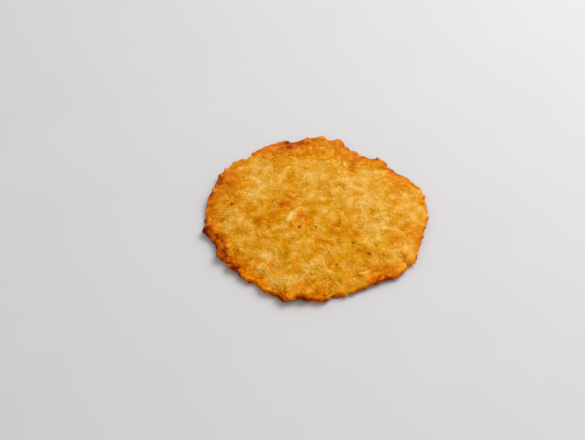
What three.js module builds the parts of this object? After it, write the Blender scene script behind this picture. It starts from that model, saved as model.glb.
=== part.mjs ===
// A potato pancake: finely grated potato bound with batter, spread by hand and fried flat on both faces,
// so that its rim is crisp and craggy and its faces show the shreds. It is one solid piece of food.
// Millimetres, +Z up. It lies on z = 0, and the origin is under the middle of its box.
import * as THREE from "three";
import { SimplexNoise } from "three/addons/math/SimplexNoise.js";

// Driving dimensions
const ROUND_RADIUS = 58.2; // the round that the batter was spread to, before its lobes and bites
const MIDDLE_THICKNESS = 7;
const EDGE_THICKNESS = 2.6;
const EDGE_LIFT = 0.9; // how far the rim curls up from the pan
const EDGE_UNEVEN = { size: 15, share: 0.25 }; // the rim's thickness and lift vary by this share
const RIM_DEPTH = 1.6; // how far in from the outline the rim starts to round over
const DOME_POWER = 5; // the top stays flat and drops close to the rim
const CURL_STARTS = 0.7; // the underside lies flat this share of the way out, then curls up

// Lobes (reach above 0) and bites (below 0) of the outline, seen from above: where each one is, in degrees
// counter-clockwise from +X, how far it stands off the round, and the degrees that it spreads to each side
const LOBES = [
  { at: 4, reach: 1.6, spread: 14 },
  { at: 14, reach: 0.8, spread: 3 },
  { at: 35, reach: -4.7, spread: 8 },
  { at: 45, reach: 2.2, spread: 3 },
  { at: 58.5, reach: -8.2, spread: 11 },
  { at: 75, reach: 2.4, spread: 3 },
  { at: 79.5, reach: -2.6, spread: 2 },
  { at: 85, reach: 1.2, spread: 2 },
  { at: 91, reach: -0.7, spread: 3 },
  { at: 100, reach: -3.2, spread: 4 },
  { at: 129, reach: -2.4, spread: 3.5 },
  { at: 145, reach: 2.2, spread: 10 },
  { at: 171, reach: 1, spread: 8 },
  { at: 188.5, reach: 2.4, spread: 3 },
  { at: 199, reach: -1.6, spread: 3 },
  { at: 207, reach: 0.8, spread: 3.5 },
  { at: 221, reach: -0.8, spread: 2 },
  { at: 233, reach: -1.5, spread: 8 },
  { at: 252, reach: 1.8, spread: 3.5 },
  { at: 269, reach: 0.8, spread: 5 },
  { at: 290, reach: -2, spread: 10 },
  { at: 303, reach: -1.4, spread: 3 },
  { at: 320, reach: 2.4, spread: 10 },
];

// Relief: the size of each kind of unevenness across the face, and its height
const WAVES = { size: 38, height: 0.5 };
const LUMPS = { size: 11, height: 0.45 };
const GRAINS = { size: 4.5, height: 0.22 };
const KNOBS = { size: 7, height: 1.9, sunk: 0.6 }; // rounded, on the rim, with notches between them
const CRAGS = { size: 3, height: 0.45 }; // finer than the knobs, in and out
const PRESSED = { above: 0.55, keeps: 0.35 }; // relief that the pan pressed flat keeps this share
const HOLLOWS = { above: 0.1, most: 0.9 }; // relief of the underside that the pan never touched

// Shreds of potato under the skin of each face, from the least of each measure to the most
const SHREDS = { count: 190, length: [8, 21], width: 3.6, height: [0.37, 0.75], bow: [-0.18, 0.18] };

// Strands that lie on the top, and the crease that runs in from the deepest bite: the middle of each one,
// the way that it lies in degrees, its size, and how far it bows as a share of half its length
const STRANDS = [
  { x: -11.5, y: -4.5, lies: 52, length: 14, width: 4.2, height: 1.1, bow: 0.22 },
  { x: 24, y: -43, lies: 32, length: 11, width: 4, height: 0.9, bow: -0.1 },
];
const CREASE = { x: 22, y: 32, lies: 77, length: 15, width: 4.5, height: 1, bow: 0.1 };
const SEED = 7;
const SEED_STEP = 1000; // how far on the draws of the next seed start

// Fineness of the skin
const TOP_RINGS = 30;
const UNDER_RINGS = 18;
const RIM_RINGS = 4; // rings of points between the two faces
const RING_STEP = 7; // each ring of a face has this many points more than the one inside it

const noise = new SimplexNoise({ random: seededDraws(SEED) });
const topShreds = layShreds(seededDraws(SEED + 1));
const underShreds = layShreds(seededDraws(SEED + 2));

// The same random numbers from 0 to 1 in every build
function seededDraws(seed) {
  let draw = seed * SEED_STEP;
  return () => THREE.MathUtils.seededRandom(draw++);
}

function between(low, high, share) {
  return THREE.MathUtils.lerp(low, high, share);
}

// Shreds strewn evenly over the round, lying any way and a little bowed
function layShreds(random) {
  return Array.from({ length: SHREDS.count }, () => {
    const fromMiddle = ROUND_RADIUS * Math.sqrt(random());
    const around = 2 * Math.PI * random();
    return {
      x: fromMiddle * Math.cos(around),
      y: fromMiddle * Math.sin(around),
      lies: 180 * random(),
      length: between(...SHREDS.length, random()),
      width: SHREDS.width,
      height: between(...SHREDS.height, random()),
      bow: between(...SHREDS.bow, random()),
    };
  });
}

// How far a shred stands up at a place: a rounded ridge that tapers at both ends
function ridgeHeight(x, y, shred) {
  const dx = x - shred.x;
  const dy = y - shred.y;
  const turn = THREE.MathUtils.degToRad(shred.lies);
  const halfLength = shred.length / 2;
  const along = (dx * Math.cos(turn) + dy * Math.sin(turn)) / halfLength;
  if (Math.abs(along) >= 1) return 0;
  const bowed = shred.bow * halfLength * (1 - along * along);
  const across = (dy * Math.cos(turn) - dx * Math.sin(turn) - bowed) / (shred.width / 2);
  if (Math.abs(across) >= 1) return 0;
  return shred.height * (1 - across * across) * Math.sqrt(1 - along * along);
}

function highestRidge(x, y, shreds) {
  return Math.max(...shreds.map((shred) => ridgeHeight(x, y, shred)));
}

function unevenness({ size, height }, x, y) {
  return height * noise.noise(x / size, y / size);
}

function outlineRadius(angle) {
  let radius = ROUND_RADIUS;
  for (const lobe of LOBES) {
    const turn = THREE.MathUtils.radToDeg(angle) - lobe.at;
    const away = (THREE.MathUtils.euclideanModulo(turn + 180, 360) - 180) / lobe.spread;
    radius += lobe.reach * Math.exp((-away * away) / 2);
  }
  return radius;
}

// The rim is thicker, and curls further, in some places than in others
function rimVariation(x, y) {
  return 1 + EDGE_UNEVEN.share * noise.noise(x / EDGE_UNEVEN.size, y / EDGE_UNEVEN.size);
}

// Height of the top face at a place that is this share of the way from the middle to the rim
function topHeight(x, y, share) {
  const rimTop = (EDGE_LIFT + EDGE_THICKNESS) * rimVariation(x, y);
  const dome = between(MIDDLE_THICKNESS, rimTop, share ** DOME_POWER) + unevenness(WAVES, x, y);
  const relief = unevenness(LUMPS, x, y) + unevenness(GRAINS, y, x) + highestRidge(x, y, topShreds);
  const proud = Math.max(0, relief - PRESSED.above);
  const pressed = relief - proud * (1 - PRESSED.keeps);
  return dome + pressed + highestRidge(x, y, STRANDS) - ridgeHeight(x, y, CREASE);
}

// Height of the underside: flat on the pan, apart from its hollows and the curl of the rim
function underHeight(x, y, share) {
  const curling = Math.max(0, share - CURL_STARTS) / (1 - CURL_STARTS);
  const curl = EDGE_LIFT * rimVariation(x, y) * curling ** 2;
  const relief = unevenness(LUMPS, y, -x) + unevenness(GRAINS, -x, y) + HOLLOWS.above;
  const hollow = Math.max(0, relief - highestRidge(x, y, underShreds));
  return curl + Math.min(hollow, HOLLOWS.most) * (1 - curling);
}

function facePoint(angle, share, heightOf) {
  const radius = share * (outlineRadius(angle) - RIM_DEPTH);
  const x = radius * Math.cos(angle);
  const y = radius * Math.sin(angle);
  return new THREE.Vector3(x, y, heightOf(x, y, share));
}

// A point of the rounded rim, a share of the turn from the top face to the underside
function rimPoint(angle, turn) {
  const top = facePoint(angle, 1, topHeight).z;
  const under = facePoint(angle, 1, underHeight).z;
  const bulge = Math.sin(Math.PI * turn);
  const z = between(under, top, (1 + Math.cos(Math.PI * turn)) / 2);
  const outline = outlineRadius(angle);
  const x = outline * Math.cos(angle);
  const y = outline * Math.sin(angle);
  const knob = KNOBS.height * Math.abs(noise.noise3d(x / KNOBS.size, y / KNOBS.size, z / KNOBS.size));
  const crag = CRAGS.height * noise.noise3d(x / CRAGS.size, y / CRAGS.size, z / CRAGS.size);
  const radius = outline - RIM_DEPTH + (RIM_DEPTH + knob - KNOBS.sunk + crag) * bulge;
  return new THREE.Vector3(radius * Math.cos(angle), radius * Math.sin(angle), z);
}

// A ring of points, evenly turned, and a single point where the count is 0
function ring(count, pointAt) {
  const points = Math.max(1, count);
  return Array.from({ length: points }, (_, i) => pointAt((2 * Math.PI * i) / points));
}

// The skin as rings of points, from the middle of the top, over the rim, to the middle of the underside
function skinRings() {
  const rings = [];
  for (let k = 0; k <= TOP_RINGS; k++) {
    rings.push(ring(RING_STEP * k, (angle) => facePoint(angle, k / TOP_RINGS, topHeight)));
  }
  for (let k = 1; k <= RIM_RINGS; k++) {
    rings.push(ring(RING_STEP * TOP_RINGS, (angle) => rimPoint(angle, k / (RIM_RINGS + 1))));
  }
  for (let k = UNDER_RINGS; k >= 0; k--) {
    rings.push(ring(RING_STEP * k, (angle) => facePoint(angle, k / UNDER_RINGS, underHeight)));
  }
  return rings;
}

// Triangles between one ring and the next, whose counts may differ, facing out of the food
function bridge(from, fromStart, to, toStart, triangles) {
  const fromSteps = from.length === 1 ? 0 : from.length;
  const toSteps = to.length === 1 ? 0 : to.length;
  let i = 0;
  let j = 0;
  while (i < fromSteps || j < toSteps) {
    const here = fromStart + (i % from.length);
    const there = toStart + (j % to.length);
    const stepFrom = j >= toSteps || (i < fromSteps && (i + 1) * toSteps < (j + 1) * fromSteps);
    if (stepFrom) {
      i++;
      triangles.push(here, there, fromStart + (i % from.length));
    } else {
      j++;
      triangles.push(here, there, toStart + (j % to.length));
    }
  }
}

function pancakeGeometry() {
  const rings = skinRings();
  const triangles = [];
  let start = 0;
  for (let k = 0; k + 1 < rings.length; k++) {
    bridge(rings[k], start, rings[k + 1], start + rings[k].length, triangles);
    start += rings[k].length;
  }
  const geometry = new THREE.BufferGeometry().setFromPoints(rings.flat());
  geometry.setIndex(triangles);
  geometry.computeBoundingBox();
  const middle = geometry.boundingBox.getCenter(new THREE.Vector3());
  geometry.translate(-middle.x, -middle.y, 0);
  geometry.computeVertexNormals();
  return geometry;
}

const friedPotato = new THREE.MeshStandardMaterial({ color: 0xdb9929, roughness: 0.5, metalness: 0 });
const pancake = new THREE.Mesh(pancakeGeometry(), friedPotato);
pancake.name = "pancake";

const part = new THREE.Group();
part.add(pancake);
export default part;
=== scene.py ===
# A potato pancake lying on a pale table under soft light. Metres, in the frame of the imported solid.
import math
from types import SimpleNamespace

import bpy
import numpy as np
from mathutils import Matrix, Vector


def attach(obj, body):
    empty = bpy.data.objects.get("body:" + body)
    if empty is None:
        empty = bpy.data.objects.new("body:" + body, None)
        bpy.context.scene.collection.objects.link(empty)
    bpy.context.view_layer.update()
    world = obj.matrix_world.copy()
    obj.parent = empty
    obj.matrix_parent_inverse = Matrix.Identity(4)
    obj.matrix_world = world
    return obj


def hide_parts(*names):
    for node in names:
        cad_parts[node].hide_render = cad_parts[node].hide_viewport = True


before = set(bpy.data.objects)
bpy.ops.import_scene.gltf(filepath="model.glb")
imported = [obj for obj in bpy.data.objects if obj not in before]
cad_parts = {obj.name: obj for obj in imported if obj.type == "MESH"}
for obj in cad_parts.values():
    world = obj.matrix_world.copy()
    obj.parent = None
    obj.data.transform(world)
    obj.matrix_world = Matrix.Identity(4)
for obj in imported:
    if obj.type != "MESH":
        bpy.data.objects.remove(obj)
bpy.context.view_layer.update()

# The camera stands in front of the pancake and looks down at it from arm's length, tipped a little to one
# side. The pancake lies a little right of the middle of the picture.
MM = 0.001
CAMERA_ELEVATION = math.radians(48.9)
CAMERA_ROLL = math.radians(-2.15)
CAMERA_DISTANCE = 600 * MM
CAMERA_LENS_MM = 68.4
CAMERA_NEAREST = 10 * MM
AIM = Vector((-12.3, -1.6, 0)) * MM

bpy.ops.object.camera_add()
camera = bpy.context.object
camera.name = "camera"
camera.data.lens = CAMERA_LENS_MM
camera.data.clip_start = CAMERA_NEAREST
looking_down = Matrix.Rotation(math.pi / 2 - CAMERA_ELEVATION, 4, "X")
rolled = looking_down @ Matrix.Rotation(CAMERA_ROLL, 4, "Z")
back_off = Vector((0, -math.cos(CAMERA_ELEVATION), math.sin(CAMERA_ELEVATION))) * CAMERA_DISTANCE
camera.matrix_world = Matrix.Translation(AIM + back_off) @ rolled
bpy.context.scene.camera = camera

# Soft studio light: a wide softbox high at the back right, and an even white room that fills the shadows.
# The picture is shown without a film curve, so that a colour comes out as it is set.
ROOM_COLOUR = "FFFFFF"
ROOM_STRENGTH = 0.57
SOFTBOX_WATTS = 7
SOFTBOX_SIZE = 700 * MM
SOFTBOX_PLACE = Vector((480, 420, 760)) * MM


def linear(hex_colour):
    """An sRGB hex colour as linear red, green, blue and alpha."""
    shares = [int(hex_colour[i:i + 2], 16) / 255 for i in (0, 2, 4)]
    return [s / 12.92 if s <= 0.04045 else ((s + 0.055) / 1.055) ** 2.4 for s in shares] + [1]


world = bpy.data.worlds.new("white_room")
bpy.context.scene.world = world
world.use_nodes = True
room = world.node_tree.nodes["Background"]
room.inputs["Color"].default_value = linear(ROOM_COLOUR)
room.inputs["Strength"].default_value = ROOM_STRENGTH
bpy.ops.object.light_add(type="AREA", location=SOFTBOX_PLACE)
softbox = bpy.context.object
softbox.name = "softbox"
softbox.data.energy = SOFTBOX_WATTS
softbox.data.size = SOFTBOX_SIZE
softbox.rotation_euler = (-SOFTBOX_PLACE).to_track_quat("-Z", "Y").to_euler()
bpy.context.scene.view_settings.view_transform = "Standard"

# The table is a wide sheet of matt white board, laid flat under the food and no part of it. The coat of the
# board is a little uneven, so that its white wavers softly between two tones.
TABLE_SIZE = 4000 * MM
TABLE_MOTTLE = 60 * MM
BOARD_LIGHT = "D8D7D6"
BOARD_SHADE = "D3D2D2"
BOARD_ROUGHNESS = 0.7


def add_node(tree, kind, settings):
    """Adds a node. A setting is a property, a socket's value, or the output that a socket links to."""
    node = tree.nodes.new(kind)
    for name, value in settings.items():
        if isinstance(value, bpy.types.NodeSocket):
            tree.links.new(value, node.inputs[name])
        elif isinstance(name, int) or name in node.inputs:
            node.inputs[name].default_value = value
        else:
            setattr(node, name, value)
    return node


board = bpy.data.materials.new("matt_white_board")
board.use_nodes = True
nodes = board.node_tree
place = add_node(nodes, "ShaderNodeTexCoord", {}).outputs["Object"]
mottle = add_node(nodes, "ShaderNodeTexNoise", {"Vector": place, "Scale": 1 / TABLE_MOTTLE})
board_colour = add_node(nodes, "ShaderNodeMixRGB", {
    "Fac": mottle.outputs["Fac"], "Color1": linear(BOARD_LIGHT), "Color2": linear(BOARD_SHADE),
})
surface = nodes.nodes["Principled BSDF"]
surface.inputs["Roughness"].default_value = BOARD_ROUGHNESS
nodes.links.new(board_colour.outputs["Color"], surface.inputs["Base Color"])

bpy.ops.mesh.primitive_plane_add(size=TABLE_SIZE)
table = bpy.context.object
table.name = "table"
table.data.materials.append(board)

# The pancake is finely grated potato bound with batter and fried in oil on both faces. The bits of potato
# are fused into one crust: pressed flat by the pan on the faces, and standing out, crisp and brown, at the
# rim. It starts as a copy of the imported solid, with its facets rounded off.
SEED = 11
MERGED_WITHIN = 0.01 * MM
ROUNDING_LEVEL = 1

bpy.ops.object.select_all(action="DESELECT")
pancake = bpy.data.objects.new("fried_pancake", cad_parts["pancake"].data.copy())
bpy.context.collection.objects.link(pancake)
bpy.context.view_layer.objects.active = pancake
pancake.select_set(True)
pancake.data.materials.clear()
bpy.ops.object.mode_set(mode="EDIT")
bpy.ops.mesh.select_all(action="SELECT")
bpy.ops.mesh.remove_doubles(threshold=MERGED_WITHIN)
bpy.ops.object.mode_set(mode="OBJECT")
rounded = pancake.modifiers.new("rounded", "SUBSURF")
rounded.levels = rounded.render_levels = ROUNDING_LEVEL
bpy.ops.object.modifier_apply(modifier=rounded.name)


def point_rows(collection, name):
    """One row of three numbers for each point, such as its place or its normal."""
    values = np.empty(len(collection) * 3)
    collection.foreach_get(name, values)
    return values.reshape(-1, 3)


def set_attribute(mesh, name, values):
    """Stores one number for each point of a mesh under a name."""
    attribute = mesh.attributes.get(name) or mesh.attributes.new(name, "FLOAT", "POINT")
    attribute.data.foreach_set("value", values.astype(np.float32))


def unit(rows):
    """Each row scaled to a length of 1."""
    return rows / np.linalg.norm(rows, axis=1, keepdims=True)


# Every bit of potato starts as a blunt little bar, two long, two wide and two thick. Its two ends, where it
# has no girth, stay as they are.
BAR_SIDES = 6
BAR_RINGS = 6
BAR_BLUNTNESS = 0.55
BAR_END_GIRTH = 0.01
bpy.ops.mesh.primitive_uv_sphere_add(segments=BAR_SIDES, ring_count=BAR_RINGS, radius=1)
bar = point_rows(bpy.context.object.data.vertices, "co")
bar_faces = [face.vertices[:] for face in bpy.context.object.data.polygons]
bpy.ops.object.delete()
girth = np.hypot(bar[:, 0], bar[:, 1])
bar[:, :2] *= np.where(girth > BAR_END_GIRTH, girth, 1)[:, None] ** (BAR_BLUNTNESS - 1)


def lay_bars(middle, out, along, length, width, thick, proud, bow):
    """Points of blunt bars: where each one is, the way out of the crust, the way that it lies, its sizes,
    how far it stands out, and how far it bows as a share of half its length."""
    across = np.cross(out, along)
    over = np.cross(along, across)
    half_length, half_width, half_thick = (size[:, None, None] * MM / 2 for size in (length, width, thick))
    stands, bows = proud[:, None, None] * MM, bow[:, None, None]
    v, w, u = bar[None, :, 0:1], bar[None, :, 1:2], bar[None, :, 2:3]
    return (
        middle[:, None]
        + along[:, None] * u * half_length
        + across[:, None] * (v * half_width + bows * (1 - u * u) * half_length)
        + over[:, None] * (w * half_thick + stands - half_thick)
    ).reshape(-1, 3)


# Near the rim the bits lie round it, are shorter and stand out less, and least on its smooth side.
RIM_STEEPNESS = 0.85
RIM_SHORTENING = 0.3
RIM_REACH = 6 * MM
LYING_ROUND = 4
SMOOTH_SIDE = math.radians(-5)
LEAST_CRAGGY = 0.18
OUTLINE_STEP = 2
UP = np.array((0, 0, 1))


def rim_distance(places):
    """How far each place is from the outline, which is the farthest place in every few degrees round."""
    around = np.degrees(np.arctan2(places[:, 1], places[:, 0])) % 360
    from_middle = np.hypot(places[:, 0], places[:, 1])
    outline = np.zeros(360 // OUTLINE_STEP)
    np.maximum.at(outline, (around / OUTLINE_STEP).astype(int) % len(outline), from_middle)
    step_middles = (np.arange(len(outline)) + 0.5) * OUTLINE_STEP
    return np.interp(around, step_middles, outline, period=360) - from_middle


def survey():
    """The skin as it is: its points and normals, the corners and areas of its triangles, how near each
    point is to the rim, how craggy the rim is there, and which triangles are the side of the rim."""
    mesh = pancake.data
    mesh.calc_loop_triangles()
    points = point_rows(mesh.vertices, "co")
    normals = point_rows(mesh.vertex_normals, "vector")
    corners = point_rows(mesh.loop_triangles, "vertices").astype(int)
    areas = np.empty(len(corners))
    mesh.loop_triangles.foreach_get("area", areas)
    near_rim = np.clip(1 - rim_distance(points) / RIM_REACH, 0, 1)
    opposite = (1 - np.cos(np.arctan2(points[:, 1], points[:, 0]) - SMOOTH_SIDE)) / 2
    craggy = LEAST_CRAGGY + (1 - LEAST_CRAGGY) * opposite
    on_side = (np.abs(normals[corners, 2].mean(1)) < RIM_STEEPNESS) & (near_rim[corners].min(1) > 0)
    return SimpleNamespace(
        points=points, normals=normals, corners=corners, areas=areas, near_rim=near_rim, craggy=craggy,
        on_side=on_side,
    )


# Bits that lie at random tilt and bow a little, and differ in tone, from browned to pale, and in browning.
BIT_TILT = math.radians(3)
BIT_BOW = 0.2
BIT_BROWNING = 0.3
BROWNING_LIMITS = (-0.5, 0.5)
TONE_LIMITS = (-0.1, 1)
draws = np.random.default_rng(SEED)


def strew(skin, count, length, width, thick, proud, rim_proud, face, rim, tone):
    """Points, tones and browning of bars that lie at random all over a skin. A bar lies square to its
    heading, so that one that heads out and up near the rim lies round it."""
    chance = skin.areas * np.where(skin.on_side, rim, face)
    where = skin.corners[draws.choice(len(skin.corners), count, p=chance / chance.sum())]
    weights = draws.dirichlet((1, 1, 1), count)[:, :, None]
    middle = (skin.points[where] * weights).sum(1)
    out = unit((skin.normals[where] * weights).sum(1))
    near = skin.near_rim[where[:, 0]]
    out_and_up = unit(middle * (1, 1, 0)) + UP
    heading = draws.normal(size=(count, 3)) + out_and_up * LYING_ROUND * near[:, None]
    slope = BIT_TILT * draws.normal(size=(count, 1))
    flat = unit(np.cross(out, heading))
    places = lay_bars(
        middle, out, flat * np.cos(slope) + out * np.sin(slope),
        draws.uniform(*length, count) * (1 - RIM_SHORTENING * near),
        draws.uniform(*width, count), np.full(count, thick),
        draws.uniform(*proud, count) * (1 - (1 - rim_proud * skin.craggy[where[:, 0]]) * near),
        draws.uniform(-BIT_BOW, BIT_BOW, count),
    )
    tones = np.clip(draws.normal(*tone, count), *TONE_LIMITS)
    return places, tones, np.clip(draws.normal(0, BIT_BROWNING, count), *BROWNING_LIMITS)


def set_down(skin, bits, thick):
    """Points, tones and browning of bars that are put one by one on the upper side of a skin."""
    x, y, lies, length, width, bow, proud, tones, browning = np.array(bits).T
    upper = np.flatnonzero(skin.normals[:, 2] > 0)
    from_x, from_y = (skin.points[upper, axis] for axis in (0, 1))
    under = upper[[np.argmin(np.hypot(from_x - a * MM, from_y - b * MM)) for a, b in zip(x, y)]]
    turn = np.radians(lies)
    level = np.stack([np.cos(turn), np.sin(turn), 0 * turn], 1)
    out = skin.normals[under]
    along = unit(level - out * (level * out).sum(1, keepdims=True))
    places = lay_bars(skin.points[under], out, along, length, width, np.full(len(x), thick), proud, bow)
    return places, tones, browning


def soften(factor, rounds):
    """Applies a Smooth modifier to the pancake, and gives its points."""
    softened = pancake.modifiers.new("softened", "SMOOTH")
    softened.factor = factor
    softened.iterations = rounds
    bpy.ops.object.modifier_apply(modifier=softened.name)
    return point_rows(pancake.data.vertices, "co")


def fuse(layers, fineness):
    """Joins layers of bars to the pancake, and draws one closed skin round them all, as frying does."""
    places, tones, browning = (np.concatenate(values) for values in zip(*layers))
    starts = range(0, len(places), len(bar))
    faces = [[start + k for k in face] for start in starts for face in bar_faces]
    mesh = bpy.data.meshes.new("bits")
    mesh.from_pydata(places.tolist(), [], faces)
    set_attribute(mesh, "tone", np.repeat(tones, len(bar)))
    set_attribute(mesh, "bit_browning", np.repeat(browning, len(bar)))
    bits = bpy.data.objects.new("bits", mesh)
    bpy.context.collection.objects.link(bits)
    bpy.ops.object.select_all(action="DESELECT")
    bits.select_set(True)
    pancake.select_set(True)
    bpy.context.view_layer.objects.active = pancake
    bpy.ops.object.join()
    pancake.data.remesh_voxel_size = fineness
    pancake.data.use_remesh_preserve_attributes = True
    pancake.data.use_remesh_fix_poles = False
    bpy.ops.object.voxel_remesh()


# Lumps of batter and potato that make the rim craggy. First those at random: how many there are, their
# sizes and how far they stand out in millimetres, how much of that they keep near the rim, how thickly they
# lie on the faces and on the side of the rim, and the usual tone and its spread.
RIM_LUMPS = {"count": 150, "length": (4, 9), "width": (2.5, 4.5), "thick": 2.6, "proud": (0, 1.2),
             "rim_proud": 1, "face": 0, "rim": 1, "tone": (0.4, 0.3)}
# Then those that show one by one: the middle of each one in millimetres, the way that it lies in degrees,
# its length, width and bow, how far it stands out, its tone and its browning.
SINGLE_LUMPS = [
    # From the left round the front
    (-57, -11.3, 100, 5, 4.5, 0, 0.6, 0.35, 0.2), (-52, -19, 120, 6, 3.4, 0, 0.7, 0.35, 0.2),
    (-51.5, -27, 125, 5, 3.6, 0, 1.1, 0.35, 0.2), (-44.5, -36, 135, 5.5, 3.6, 0, 1, 0.35, 0.2),
    (-20, -56, 160, 9, 3, 0.1, 0.6, 0.35, 0.2), (0, -58, 0, 7, 3, 0, 0.7, 0.35, 0.2),
    (12, -56, 20, 4, 3, 0, 1, 0.35, 0.2), (29, -45.5, 30, 5, 3.4, 0, 0.8, 0.35, 0.2),
    (48, -35, 50, 5, 3.4, 0, 0.8, 0.35, 0.2),
    # From the left round the back
    (-57.5, 14.5, 75, 6, 3, 0, 0.8, 0.35, 0.2), (-53, 29, 60, 6, 3.2, 0, 0.7, 0.35, 0.2),
    (-32, 48.5, 35, 7, 3, 0, 0.7, 0.35, 0.2), (-19, 54, 15, 6, 3, 0, 0.7, 0.35, 0.2),
    (-13.5, 51, 0, 6, 4, 0, 0.6, 0.35, 0.2), (5, 56, 175, 7, 4, 0, 1, 0.35, 0.2),
]
LUMP_THICK = 1.8
LUMP_FINENESS = 0.8 * MM
LUMP_ROUNDS = 2
BATTER_TONE = 0.35
SOFTENING = 0.5
set_attribute(pancake.data, "tone", np.full(len(pancake.data.vertices), BATTER_TONE))
set_attribute(pancake.data, "bit_browning", np.zeros(len(pancake.data.vertices)))
batter = survey()
fuse([strew(batter, **RIM_LUMPS), set_down(batter, SINGLE_LUMPS, LUMP_THICK)], LUMP_FINENESS)
soften(SOFTENING, LUMP_ROUNDS)

# Bits of potato in the crust, at random and then one by one, with the same measures.
BITS = {
    "flakes": {"count": 560, "length": (5, 10), "width": (3, 5.5), "thick": 1.4, "proud": (-0.2, 0.15),
               "rim_proud": 0.3, "face": 1, "rim": 0, "tone": (0.55, 0.35)},
    "shreds": {"count": 1000, "length": (3.5, 7), "width": (1.3, 2.1), "thick": 1.3, "proud": (0, 0.35),
               "rim_proud": 0.3, "face": 1, "rim": 0.2, "tone": (0.5, 0.26)},
    "crumbs": {"count": 2600, "length": (2, 3.4), "width": (1.7, 2.6), "thick": 1.8, "proud": (0.05, 0.5),
               "rim_proud": 0.4, "face": 1, "rim": 0.6, "tone": (0.5, 0.2)},
    "granules": {"count": 3300, "length": (1.3, 2.1), "width": (1.2, 1.8), "thick": 1.5,
                 "proud": (0.15, 0.55), "rim_proud": 0.5, "face": 1, "rim": 1, "tone": (0.45, 0.14)},
}
SINGLE_BITS = [
    # The pale strand in the middle, in four lengths
    (-13.8, -6.8, 65, 6, 3, 0, 0.45, 1, -0.4), (-12.4, -3.8, 57, 6.5, 2.4, 0.05, 0.5, 1.2, -0.5),
    (-9.4, -0.3, 43, 7, 1.6, 0.1, 0.4, 1, -0.3), (-16.6, -12.3, 82, 5.5, 2, 0, 0.35, 0.9, -0.3),
    # Orange flakes beside it
    (-12.5, 7.2, 5, 6.5, 4.8, 0, 0.35, 0.3, 0.35), (-16.8, 3, 75, 8, 4, 0, 0.35, 0.25, 0.5),
    (-6.5, -5, 80, 9, 5.5, 0, 0.35, 0.5, 0.1),
    # Pale shreds near the front
    (24, -43, 32, 10, 2, -0.1, 0.4, 0.8, 0), (-14, -45, 70, 9, 3.4, 0.1, 0.25, 0.65, -0.2),
    (-26, -31, 20, 8, 3, 0.1, 0.3, 0.75, -0.2), (46, -28, 80, 6, 4, 0, 0.4, 1, -0.2),
]
SINGLE_THICK = 1.8
SKIN_FINENESS = 0.5 * MM
lumpy = survey()
layers = [strew(lumpy, **kind) for kind in BITS.values()]
layers.append(set_down(lumpy, SINGLE_BITS, SINGLE_THICK))
fuse(layers, SKIN_FINENESS)

# The underside was pressed flat by the pan, so it needs fewer faces: the share of them that it keeps, and
# how far a point has to face down to be part of it.
UNDERSIDE_FACES = 0.4
UNDERSIDE_LEVEL = -0.6
SKIN_ROUNDS = 1
bpy.ops.object.mode_set(mode="EDIT")
bpy.ops.mesh.select_mode(type="VERT")
bpy.ops.mesh.select_all(action="DESELECT")
bpy.ops.object.mode_set(mode="OBJECT")
facing_down = point_rows(pancake.data.vertex_normals, "vector")[:, 2] < UNDERSIDE_LEVEL
pancake.data.vertices.foreach_set("select", facing_down)
bpy.ops.object.mode_set(mode="EDIT")
bpy.ops.mesh.decimate(ratio=UNDERSIDE_FACES)
bpy.ops.object.mode_set(mode="OBJECT")
points = soften(SOFTENING, SKIN_ROUNDS)

# The crust swells past the batter's round in some places and shrinks from it in others: where that is, in
# degrees counter-clockwise from +X, how far it goes in millimetres, and the degrees that it spreads to each
# side.
SWELLINGS = [
    (8, -1.1, 2.5), (14.5, -0.9, 5), (25, 0.9, 2.5), (34, 0.8, 5), (49.7, -1.9, 2.4), (57.5, 1.1, 3),
    (80.5, 0.7, 6), (89, -0.9, 2.5), (103, 1.3, 2), (109, -0.6, 4), (123, -0.6, 3), (131, -2.1, 2.8),
    (137.5, 0.7, 2.5), (143.8, -1.4, 3), (158, -1, 4.5), (184.3, -2.6, 3.6), (204, -0.7, 3),
    (213, -1.1, 3.5), (220, -0.9, 2.5), (229, 0.8, 4), (235, -1.9, 2), (241, 1.6, 2), (263.5, -0.5, 3),
    (277.5, -2.5, 4), (295, -0.7, 2.5), (301, -0.8, 2), (307, -0.8, 2), (313, 0.9, 2), (320.5, -2.2, 3),
    (325.6, 0.7, 2), (333, 0.4, 3), (343, -0.7, 2), (359, 0.7, 3),
]
SWELLING_DEPTH = 12 * MM
around = np.degrees(np.arctan2(points[:, 1], points[:, 0]))
from_middle = np.maximum(np.hypot(points[:, 0], points[:, 1]), MM)
outward = np.zeros(len(points))
for at, reach, spread in SWELLINGS:
    away = ((around - at + 180) % 360 - 180) / spread
    outward += reach * MM * np.exp(-away ** 2)
outward *= np.clip(1 - rim_distance(points) / SWELLING_DEPTH, 0, 1)
points[:, :2] *= (1 + outward / from_middle)[:, None]
pancake.data.vertices.foreach_set("co", points.ravel())
pancake.data.update()

# Steam left small pits in the top face: the middle of each one and its radius, in millimetres.
PITS = [
    (-8.8, -12.9, 1.1), (26.8, -32.4, 0.58), (18.5, -25.2, 0.6), (-44.8, 6.2, 0.9), (0.2, -13.3, 0.42),
    (9.4, -38.6, 0.55), (-13, -12, 0.37), (30.8, -27.2, 0.4), (12.5, -11.2, 0.34), (-7.9, -19.9, 0.42),
    (11.8, -13.9, 0.42), (11.3, -22.9, 0.36), (-13.2, -21, 0.31), (11.1, 2.4, 0.45),
]
PIT_DEPTH = 0.35 * MM


def nearness(x, y, radius):
    """How near each point is to a place of the face: 1 there, and fading out round it."""
    away = np.hypot(points[:, 0] - x * MM, points[:, 1] - y * MM) / (radius * MM)
    return np.exp(-away ** 2)


normals = point_rows(pancake.data.vertex_normals, "vector")
pitted = np.max([nearness(*pit) for pit in PITS], 0) * (normals[:, 2] > 0)
points -= normals * pitted[:, None] * PIT_DEPTH
points[:, 2] = np.maximum(points[:, 2], 0)

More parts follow.
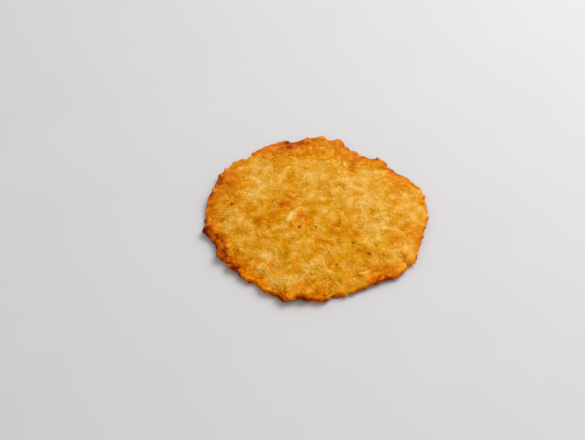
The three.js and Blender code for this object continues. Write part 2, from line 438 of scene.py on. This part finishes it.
# How far each point stands out of the skin around it, in shares of a usual depth
RELIEF_ROUNDS = 14
RELIEF_DEPTH = 0.25 * MM
smooth = soften(SOFTENING, RELIEF_ROUNDS)
relief = ((points - smooth) * normals).sum(1) / RELIEF_DEPTH
pancake.data.vertices.foreach_set("co", points.ravel())
pancake.data.update()
bpy.ops.object.shade_smooth()

# The tones of neighbouring bits run into each other, as their starch did.
BLENDING_ROUNDS = {"tone": 10, "bit_browning": 24}
blended = {}
edges = np.empty(len(pancake.data.edges) * 2, int)
pancake.data.edges.foreach_get("vertices", edges)
one_end, other_end = edges.reshape(-1, 2).T
neighbours = np.bincount(edges, minlength=len(points))
for name, rounds in BLENDING_ROUNDS.items():
    values = np.empty(len(points), np.float32)
    pancake.data.attributes[name].data.foreach_get("value", values)
    for _ in range(rounds):
        total = np.bincount(one_end, values[other_end], len(points))
        total += np.bincount(other_end, values[one_end], len(points))
        values = (values + total / neighbours) / 2
    blended[name] = values

# How the frying browned it, with painted shade as well. The rim is darker and browner in a band that fades
# inwards, and most of all in a thin line along its edge, which is darker partly for its browned underside
# edge and partly as a painted contact shadow. The side of the rim that faces down is darker, partly browned
# and partly painted shade under the rim, and the pits are darker, partly browned and partly painted shade
# in them.
# At the rim the painted highlights on the crests and the painted shade in the hollows are stronger, and the
# bits' own tones show less.
RIM_BAND = 18 * MM
RIM_FADING = 2
RIM_DARKNESS = 0.03
RIM_BROWNING = 0.9
RIM_BROWNING_FADING = 1.5
RIM_EVENNESS = 0.75
RIM_PAINTED_LIGHT = 0.7
SIDE_LEVEL = 0.5
SIDE_DARKNESS_AND_SHADE = 0.15
EDGE_LINE = 1.2 * MM
EDGE_DARKNESS_AND_SHADOW = 0.27
EDGE_BROWNING = 0.4
PIT_DARKNESS_AND_SHADE = 0.24
PIT_BROWNING = 0.8
# Then there are patches: the middle and the radius of each one, in millimetres, how much paler it is and
# how much browner.
PATCHES = [
    # Paler patches of the top face, from the back to the front
    (-33, 34, 8, 0.2, -0.2), (11, 30, 7, 0.07, -0.15), (0, 27, 8, 0.2, -0.2), (28, 27, 6, 0.1, -0.2),
    (-20, 25, 9, 0.12, -0.15), (35, 25, 7, 0.1, -0.2), (-30, 15, 8.5, 0.22, -0.25), (0, 13, 9, 0.09, -0.15),
    (24, 13, 10, 0.14, -0.2), (9, 4, 9, 0.16, -0.25), (33, 3, 10, 0.1, -0.2), (53, -1, 7, 0.12, -0.1),
    (3, -7, 6, 0.08, -0.1), (-45, -8, 6, 0.15, -0.25), (28, -9, 13, 0.13, -0.2), (41, -9, 5, 0.06, -0.3),
    (31, -19, 8, 0.12, -0.2), (-36, -20, 6, 0.1, -0.1), (-8, -22, 6, 0.08, -0.1),
    (46.5, -28, 3.2, 0.22, -0.5), (-26, -31, 5, 0.14, -0.3), (39, -34, 5, 0.06, -0.2),
    (-2, -38, 6, 0.2, -0.2), (-33, -39, 8, 0.13, 0.35), (40, -42, 8, 0.1, -0.35),
    (-29, -44.5, 6, 0.13, -0.25), (-14, -45, 4, 0.14, -0.2), (0, -50, 6, 0.09, -0.05),
    # The pale strand in the middle
    (-9.6, -1.4, 1.4, 0.14, -0.4), (-12, -4.6, 1.9, 0.24, -0.6), (-13.6, -7.4, 1.7, 0.22, -0.5),
    (-15.4, -10.6, 1.7, 0.24, -0.4),
    # Browner patches of the top face, from the back to the front
    (-2, 47, 11, -0.06, 0.22), (-16, 43, 10, -0.03, 0.15), (2, 43, 5, 0.02, 0.3), (-20, 42, 6, -0.04, 0.1),
    (14, 40, 6, 0.02, 0.25), (22, 33, 5, -0.04, 0.45), (21, 28, 3, -0.08, 0.5), (46, 28, 4, -0.16, 0.1),
    (-50, 27, 7, 0, 0.25), (-43, 19.5, 6.5, -0.18, 0.6), (1, 17.5, 3.5, -0.08, 0.5),
    (46, 8, 6, -0.02, 0.15), (-45, 7, 4, -0.06, 0.4), (-12.7, 6.8, 4, -0.08, 0.25),
    (12, 4, 3, -0.1, 0.3), (-17, 3.5, 4, -0.13, 0.4), (28, -1, 4, -0.05, 0.3), (-22.5, -4, 4, 0.05, 0.2),
    (-29, -5, 5, -0.14, 0.5), (-5.8, -6.4, 5, -0.14, 0.6), (-14, -12, 2.5, -0.14, 0.4),
    (11, -12.5, 5, -0.12, 0.4), (-22, -17, 4, -0.06, 0.4), (20, -20, 7, -0.12, 0.15),
    (41, -25, 6.5, -0.06, 0.2), (24, -31, 4, -0.06, 0.35),
    # The rim, from the right round the back to the left
    (56, 8, 10, 0.1, -0.5), (41, 33, 4, 0.04, -0.4), (34.5, 38, 5, -0.3, 0.3), (23, 43, 4, -0.04, 0),
    (-5, 57, 5, -0.26, 0.4), (-13.2, 50, 4, -0.24, 0.8), (-33, 51, 4, -0.25, 0.5),
    (-44.5, 41, 6, 0.09, -0.5), (-48.5, 31.8, 4, -0.12, 0.3), (-54, 31, 5, -0.14, 0.4),
    (-52, 26.5, 3, -0.14, 0.4), (-52, 14, 8, 0.1, -0.1), (-55.6, 14, 3, -0.4, 0.8),
    # The rim, from the left round the front to the right
    (-58.5, -2, 3, -0.12, 0.3), (-58, -9.5, 3.6, -0.3, 0.8), (-55, -14.4, 3, -0.16, 0.3),
    (-51, -18, 3, -0.2, 0.6), (-51, -22, 6, 0.01, 0.3), (-50.2, -27.2, 3.2, -0.36, 0.8),
    (-49, -31, 7, 0, 0.3), (-47.5, -30.2, 3, -0.16, 0.3), (-44.6, -35.2, 3.2, -0.36, 0.8),
    (-41, -42, 6, -0.06, 0.15), (-31, -50.5, 4, 0.06, -0.4), (-19, -49.5, 8, 0.17, -0.2),
    (-21, -58, 5, -0.3, 0.8), (-10, -59, 4, -0.1, 0.5), (0, -60, 4, -0.06, 0.3), (13.5, -57, 5, 0.08, -0.4),
    (20, -52, 9, 0.12, -0.4), (30, -47, 3, -0.25, 0.7), (36.5, -43.5, 4, -0.08, 0.35),
    (51, -31, 9, 0.2, -0.5), (57, -8, 9, 0.12, -0.5),
]
DARKEST = -0.36
RELIEF_LIMITS = (-1.1, 1.2)
inside = rim_distance(points)
rim = np.clip(1 - inside / RIM_BAND, 0, 1)
edge = np.exp(-(inside / EDGE_LINE) ** 2)
# The side of the rim that faces down is darker, partly for its browning and partly as painted shade under
# the rim.
side = np.clip(SIDE_LEVEL - normals[:, 2], 0, 1) * rim
# The thin line along the edge is darker partly for its browned underside edge and partly as a painted
# contact shadow.
paleness = -RIM_DARKNESS * rim ** RIM_FADING - EDGE_DARKNESS_AND_SHADOW * edge
# The pits are darker partly for their browning and partly as painted shade in them.
paleness -= SIDE_DARKNESS_AND_SHADE * side + PIT_DARKNESS_AND_SHADE * pitted
browning = RIM_BROWNING * rim ** RIM_BROWNING_FADING + EDGE_BROWNING * edge + PIT_BROWNING * pitted
for *patch, paler, browner in PATCHES:
    near = nearness(*patch)
    paleness += paler * near
    browning += browner * near
kept = 1 - RIM_EVENNESS * rim ** RIM_FADING
set_attribute(pancake.data, "tone", BATTER_TONE + (blended["tone"] - BATTER_TONE) * kept)
set_attribute(pancake.data, "bit_browning", blended["bit_browning"] * kept)
# The relief, made stronger at the rim, drives painted highlights and painted shade in the crust's colour.
set_attribute(pancake.data, "relief", np.clip(relief * (1 + RIM_PAINTED_LIGHT * rim), *RELIEF_LIMITS))
set_attribute(pancake.data, "paleness", np.maximum(paleness, DARKEST))
set_attribute(pancake.data, "browning", browning)

# Fried potato crust: starch and batter browned in hot oil. It shows as mottled gold, turning to orange and
# dark brown where it fried harder, with painted highlights on its crests, painted shade in its hollows and
# the dull shine of a thin oil film.
GOLDEN_COLOURS = {
    0.0: "7E4602", 0.15: "B46A02", 0.3: "CA8002", 0.45: "D68F06", 0.6: "DE9E2A", 0.75: "E5AC4A",
    0.9: "EAB454", 1.0: "EFBC62",
}
BROWNED_COLOURS = {
    0.0: "5E1A02", 0.15: "963602", 0.3: "C05802", 0.45: "D67002", 0.6: "E68604", 0.75: "F0980C",
    0.9: "F6AC24", 1.0: "F8C048",
}
MOTTLE_SIZE = 5.5 * MM
MOTTLE = {"Scale": 1 / MOTTLE_SIZE, "Detail": 2, "Roughness": 0.6}
FLECK_SLICE = 3
GRAIN_SIZE = 1.5 * MM
GRAIN = {"Scale": 1 / GRAIN_SIZE, "Detail": 3}
GRAIN_HEIGHT = 0.3 * MM
GRAIN_STRENGTH = 0.6
CRUST_ROUGHNESS = 0.42
OIL_GLOSS = 0.08
OIL_TINT = "FFC860"
# What makes a place paler, browner or brighter: where each one starts, and the share of each cause. The
# hollows are less pale partly for batter soaked with oil and partly as painted shade. Brighter is painted
# light: painted highlights on the crests, painted shade in the hollows, and the grain, partly its own
# random tone and partly painted light on the bumps that it makes.
PALER_START = -0.22
PALER = {"paleness": 1, "mottle": 1, "tone": 0.6, "hollows": 0.14}
BROWNER_START = -0.85
BROWNER = {"browning": 1, "flecks": 1.9, "bit_browning": 1}
PAINTED_LIGHT_START = 0.76
PAINTED_LIGHT_AND_GRAIN = {"crests": 0.25, "hollows": 0.38, "grain": 0.5}
crust = bpy.data.materials.new("fried_potato_crust")
crust.use_nodes = True
nodes = crust.node_tree
causes = {
    name: add_node(nodes, "ShaderNodeAttribute", {"attribute_name": name}).outputs["Fac"]
    for name in ("tone", "bit_browning", "relief", "paleness", "browning")
}
place = add_node(nodes, "ShaderNodeTexCoord", {}).outputs["Object"]
flecked = {"noise_dimensions": "4D", "W": FLECK_SLICE} | MOTTLE
for name, pattern in {"mottle": MOTTLE, "flecks": flecked, "grain": GRAIN}.items():
    causes[name] = add_node(nodes, "ShaderNodeTexNoise", {"Vector": place} | pattern).outputs["Fac"]
for name, limit in {"hollows": "MINIMUM", "crests": "MAXIMUM"}.items():
    limited = add_node(nodes, "ShaderNodeMath", {"operation": limit, 0: causes["relief"], 1: 0})
    causes[name] = limited.outputs["Value"]


def add_up(total, shares):
    """Adds causes to a total, each by its share. The total is a number at first and then an output."""
    for cause, share in shares.items():
        step = {"operation": "MULTIPLY_ADD", 0: causes[cause], 1: share, 2: total}
        total = add_node(nodes, "ShaderNodeMath", step).outputs["Value"]
    return total


lightness = add_up(PALER_START, PALER)
ramps = []
for colours in (GOLDEN_COLOURS, BROWNED_COLOURS):
    ramp = add_node(nodes, "ShaderNodeValToRGB", {"Fac": lightness})
    stops = ramp.color_ramp.elements
    for position in sorted(colours)[1:-1]:
        stops.new(position)
    for stop, position in zip(stops, sorted(colours)):
        stop.position = position
        stop.color = linear(colours[position])
    ramps.append(ramp.outputs["Color"])
fried = add_node(nodes, "ShaderNodeMixRGB", {
    "Fac": add_up(BROWNER_START, BROWNER), "Color1": ramps[0], "Color2": ramps[1],
})
# The crust's colour times the painted highlights and painted shade of crests, hollows and grain.
with_painted_light = add_node(nodes, "ShaderNodeMixRGB", {
    "blend_type": "MULTIPLY", "Fac": 1, "Color1": fried.outputs["Color"],
    "Color2": add_up(PAINTED_LIGHT_START, PAINTED_LIGHT_AND_GRAIN),
})
bumps = add_node(nodes, "ShaderNodeBump", {
    "Strength": GRAIN_STRENGTH, "Distance": GRAIN_HEIGHT, "Height": causes["grain"],
})
surface = nodes.nodes["Principled BSDF"]
surface.inputs["Roughness"].default_value = CRUST_ROUGHNESS
surface.inputs["Specular IOR Level"].default_value = OIL_GLOSS
surface.inputs["Specular Tint"].default_value = linear(OIL_TINT)
nodes.links.new(with_painted_light.outputs["Color"], surface.inputs["Base Color"])
nodes.links.new(bumps.outputs["Normal"], surface.inputs["Normal"])
pancake.data.materials.append(crust)

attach(pancake, "root")
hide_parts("pancake")
